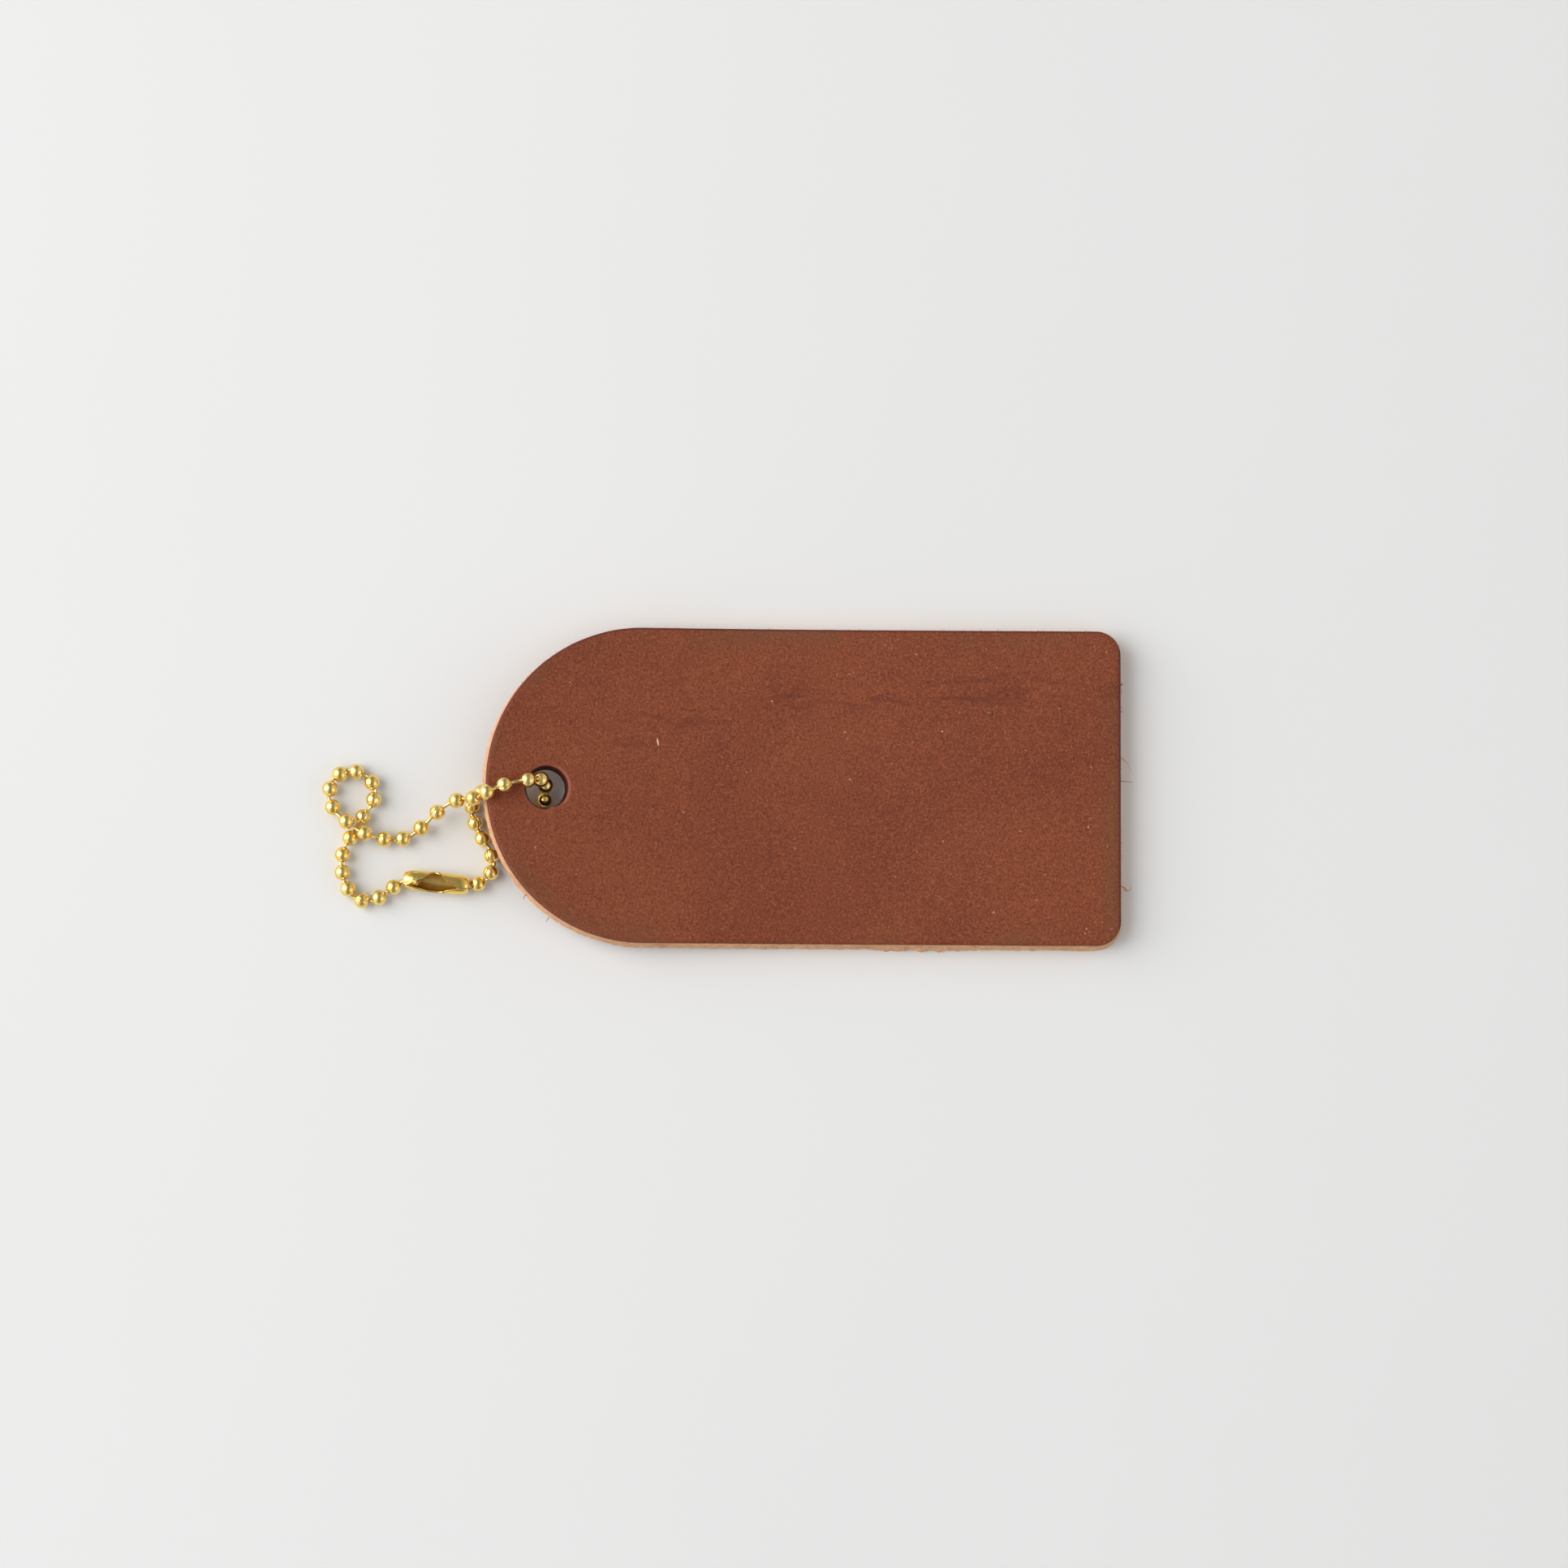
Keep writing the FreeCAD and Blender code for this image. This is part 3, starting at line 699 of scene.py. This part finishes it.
def seam_angles(steps=44):
    """Longitudes round a bead, close together at its seam."""
    half = math.radians(SEAM_HALF_ANGLE)
    seam = [-half, -half * 0.72, 0.0, half * 0.72, half]
    rest = [half + (math.tau - 2 * half) * k / steps for k in range(1, steps)]
    return seam + rest


def bead(number):
    """Hollow bead with a hole at each pole and the seam where its strip meets."""
    angles = seam_angles()
    half = math.radians(SEAM_HALF_ANGLE)
    depth = SEAM_DEPTH * rng.uniform(0.5, 1.0)
    dent = Vector((rng.uniform(-9, 9), rng.uniform(-9, 9), rng.uniform(-9, 9)))
    place = placing(CENTRES[number - 1], AXES[number - 1], rng.uniform(0, math.tau))
    points, rings = [], []
    for radius, height, share in bead_profile():
        ring = []
        for angle in angles:
            in_seam = share if abs(angle) < half * 0.8 else 0.0
            shape = Vector((radius * math.cos(angle), radius * math.sin(angle), height))
            dented = 1 - 0.006 * abs(noise.noise(shape * 1.1 + dent)) if share == 1.0 else 1.0
            shrink = 1 - in_seam * depth / BEAD_RADIUS
            ring.append(len(points))
            points.append(place @ (shape * dented * shrink))
        rings.append(ring)
    faces = []
    for upper, lower in zip(rings, rings[1:] + rings[:1]):
        faces += bridge(lower, upper)
    name = "bead_%02d" % number
    piece = new_piece("brass_" + name, points, faces, [BEAD_BRASS])
    return finish_piece(piece, BODY_OF_NODE[name], [name])


def turned_part(points, faces, profile, place, sides=24):
    """Adds a closed turned solid whose profile runs from one point on its axis to another."""
    tip, tail = profile[0], profile[-1]
    rings = []
    for radius, height in profile[1:-1]:
        rings.append(list(range(len(points), len(points) + sides)))
        for n in range(sides):
            turn = math.tau * n / sides
            points.append(place @ Vector((radius * math.cos(turn), radius * math.sin(turn), height)))
    for lower, upper in zip(rings, rings[1:]):
        faces.extend(bridge(lower, upper))
    for ring, (_, height), flip in ((rings[0], tip, True), (rings[-1], tail, False)):
        cap = len(points)
        points.append(place @ Vector((0, 0, height)))
        for n in range(sides):
            a, b = ring[n], ring[(n + 1) % sides]
            faces.append((b, a, cap) if flip else (a, b, cap))


def head_profile(reach, side):
    """Ball head of a pin from its tip to its neck; side is +1 for the upper end and -1 for the lower."""
    neck = math.asin(PIN_RADIUS / PIN_HEAD_RADIUS)
    turns = [math.pi - (math.pi - neck) * k / 8 for k in range(9)]
    return [(PIN_HEAD_RADIUS * math.sin(t), side * (reach - PIN_HEAD_RADIUS * math.cos(t))) for t in turns]


def pin_profile(reach):
    lower = head_profile(reach, -1)
    return lower + [(radius, -height) for radius, height in reversed(lower)]


def link_pin(points, faces, number):
    """Pin from a bead's front hole to the next bead's back hole."""
    start = CENTRES[number - 1] + AXES[number - 1] * hole_reach()
    end = CENTRES[number] - AXES[number] * hole_reach()
    profile = pin_profile((end - start).length / 2 + PIN_HEAD_INSET)
    turned_part(points, faces, profile, placing((start + end) / 2, (end - start).normalized()))


def pin_stub(points, faces, number, side):
    """Cut pin in the free hole of an end bead, pinched a little where the cutters closed on it."""
    place = placing(CENTRES[number - 1] + AXES[number - 1] * side * hole_reach(), AXES[number - 1] * side)
    profile = head_profile(PIN_HEAD_INSET, -1)
    profile += [(PIN_RADIUS, PIN_STUB - 0.12), (PIN_RADIUS * 0.86, PIN_STUB - 0.03),
                (PIN_RADIUS * 0.5, PIN_STUB), (0.0, PIN_STUB)]
    turned_part(points, faces, profile, place)


def pin_piece(node):
    """The pins of one CAD node as one piece."""
    numbers = [int(word) for word in node.split("_") if word.isdigit()]
    points, faces = [], []
    for number in range(numbers[0], numbers[-1] + 1):
        link_pin(points, faces, number)
    if numbers == [1]:
        pin_stub(points, faces, 1, -1)
    if numbers == [BEAD_COUNT - 1]:
        pin_stub(points, faces, BEAD_COUNT, 1)
    piece = new_piece("brass_" + node, points, faces, [PIN_BRASS])
    return finish_piece(piece, BODY_OF_NODE[node], [node])


# --- Coupling ------------------------------------------------------------------------------------------
def coupling_stations():
    """(place along, outside radius) from mouth to mouth: a straight tube with elliptical round ends."""
    end_length = COUPLING_END - COUPLING_SHOULDER
    rise = COUPLING_RADIUS - COUPLING_MOUTH
    right = []
    for k in range(COUPLING_END_STEPS, 0, -1):
        turn = math.pi / 2 * k / COUPLING_END_STEPS
        place = COUPLING_SHOULDER + end_length * math.sin(turn)
        right.append((place, COUPLING_MOUTH + rise * math.cos(turn)))
    steps = COUPLING_STEPS_ALONG
    straight = [(COUPLING_SHOULDER * (2 * k / steps - 1), COUPLING_RADIUS) for k in range(steps + 1)]
    return [(-place, radius) for place, radius in right] + straight + right[::-1]


def coupling():
    """Rolled sheet with domed ends; its lips leave a notched slot and meet in a butt seam beyond it."""
    middle = (CENTRES[0] + CENTRES[-1]) / 2
    along = COUPLING_DIRECTION
    towards = along.cross(UP)
    steps = COUPLING_STEPS_ROUND
    points, outer, inner, edge_low, edge_high = [], [], [], [], []
    for place, outside in coupling_stations():
        gap = [math.radians(through(lip, place)) for lip in (UPPER_LIP, LOWER_LIP)]
        centre = (gap[0] + gap[1]) / 2
        half = max((gap[1] - gap[0]) / 2, math.radians(SEAM_GAP))
        bulge = math.radians(LIP_BULGE) if half > math.radians(SEAM_GAP) * 2 else 0.0
        rows = []
        for radius in (outside, outside - COUPLING_SHEET):
            ring = []
            for k in range(steps + 1):
                angle = centre + half + (math.tau - 2 * half) * k / steps
                out = UP * math.cos(angle) + towards * math.sin(angle)
                dent = COUPLING_DENT * noise.noise(out * 1.3 + Vector((place * 0.5, 0, 0)))
                ring.append(len(points))
                points.append(middle + along * place + out * (radius - abs(dent)))
            rows.append(ring)
        outer.append(rows[0])
        inner.append(rows[1])
        for row, angle in ((edge_low, centre + half - bulge), (edge_high, centre - half + bulge)):
            out = UP * math.cos(angle) + towards * math.sin(angle)
            row.append(len(points))
            points.append(middle + along * place + out * (outside - COUPLING_SHEET / 2))
    faces = []
    for first, second in zip(inner, inner[1:]):
        faces += bridge(first, second, closed=False)
    inside = len(faces)
    for first, second in zip(outer, outer[1:]):
        faces += bridge(second, first, closed=False)
    for k in range(len(outer) - 1):
        for edge, n in ((edge_low, 0), (edge_high, -1)):
            rim = [(outer[k][n], outer[k + 1][n], edge[k + 1], edge[k]),
                   (edge[k], edge[k + 1], inner[k + 1][n], inner[k][n])]
            faces += rim if n == 0 else [face[::-1] for face in rim]
    for k, flip in ((0, False), (-1, True)):
        mouth = bridge(outer[k], inner[k], closed=False)
        mouth += [(edge_low[k], outer[k][0], inner[k][0]), (edge_high[k], inner[k][-1], outer[k][-1])]
        faces += [face[::-1] for face in mouth] if flip else mouth
    # inside faces take the darker brass, painted shade inside the tube
    kinds = [1] * inside + [0] * (len(faces) - inside)
    piece = new_piece("brass_coupling_sheet", points, faces, [COUPLING_BRASS, COUPLING_SHADED_INSIDE], kinds)
    return finish_piece(piece, "coupling", ["coupling"])


# --- Stage, light and camera ---------------------------------------------------------------------------
def floor():
    half = FLOOR_HALF_WIDTH
    corners = [(-half, -half), (half, -half), (half, half), (-half, half)]
    s = Shader("floor_paint", Roughness=0.6, Specular_IOR_Level=0.1)
    s.feed("Base Color", s.mix(s.noise(9, 3.0), (0.80, 0.80, 0.795, 1), (0.82, 0.82, 0.815, 1)))
    points = [Vector((x, y, -FLOOR_DROP)) for x, y in corners]
    sheet = new_piece("floor", points, [(0, 1, 2, 3)], [s.material])


def area_light(name, place, aim, size, energy):
    """Rectangular lamp; its place, aim and size are in metres."""
    data = bpy.data.lights.new(name, "AREA")
    data.shape = "RECTANGLE"
    data.size, data.size_y = size
    data.energy = energy
    lamp = bpy.data.objects.new(name, data)
    lamp.location = place
    lamp.rotation_euler = (Vector(aim) - Vector(place)).to_track_quat("-Z", "Y").to_euler()
    bpy.context.scene.collection.objects.link(lamp)


def sky():
    """Pale room: bright towards the window side, dark overhead, dimmer on the far side."""
    world = bpy.data.worlds.new("room")
    bpy.context.scene.world = world
    world.use_nodes = True
    nodes, links = world.node_tree.nodes, world.node_tree.links
    where = nodes.new("ShaderNodeTexCoord")
    split = nodes.new("ShaderNodeSeparateXYZ")
    links.new(where.outputs["Generated"], split.inputs[0])
    across = nodes.new("ShaderNodeMapRange")
    across.inputs["From Min"].default_value = -1.0
    links.new(split.outputs["X"], across.inputs["Value"])
    ramp = nodes.new("ShaderNodeValToRGB")
    links.new(across.outputs["Result"], ramp.inputs[0])
    stops = ramp.color_ramp.elements
    while len(stops) < len(ROOM_GREYS):
        stops.new(0.5)
    for stop, (position, grey) in zip(stops, ROOM_GREYS):
        stop.position = position
        stop.color = (grey, grey, grey, 1)
    links.new(ramp.outputs[0], nodes["Background"].inputs["Color"])
    nodes["Background"].inputs["Strength"].default_value = ROOM_STRENGTH


def camera():
    """Looks almost straight down, tilted a little so that the tag's near wall shows."""
    tilt, roll = math.radians(CAMERA_TILT), math.radians(CAMERA_ROLL)
    target = Vector((CAMERA_AIM_X, CAMERA_AIM_Y, TAG_THICKNESS))
    ahead = Vector((0, math.sin(tilt), -math.cos(tilt)))
    right, up = Vector((1, 0, 0)), Vector((0, math.cos(tilt), math.sin(tilt)))
    rolled_right = right * math.cos(roll) + up * math.sin(roll)
    rolled_up = up * math.cos(roll) - right * math.sin(roll)
    data = bpy.data.cameras.new("camera")
    data.lens = CAMERA_LENS
    data.sensor_width = CAMERA_SENSOR
    data.clip_start, data.clip_end = 0.01, 10
    eye = bpy.data.objects.new("camera", data)
    axes = Matrix((rolled_right, rolled_up, -ahead)).transposed().to_4x4()
    eye.matrix_world = Matrix.Translation((target - ahead * CAMERA_DISTANCE) * MM) @ axes
    bpy.context.scene.collection.objects.link(eye)
    bpy.context.scene.camera = eye


camera()
floor()
sky()
area_light("window", (-1.05, 0.22, 0.78), (-0.03, 0, 0), (1.1, 1.5), 14.8)
area_light("fill", (1.2, -0.5, 0.9), (-0.03, 0, 0), (1.2, 1.2), 2.5)
bpy.context.scene.view_settings.view_transform = "Standard"

leather_tag()
loose_fibres()
for bead_number in range(1, BEAD_COUNT + 1):
    bead(bead_number)
for pin_node in sorted(name for name in frame["nodes"] if name.startswith("pin")):
    pin_piece(pin_node)
coupling()
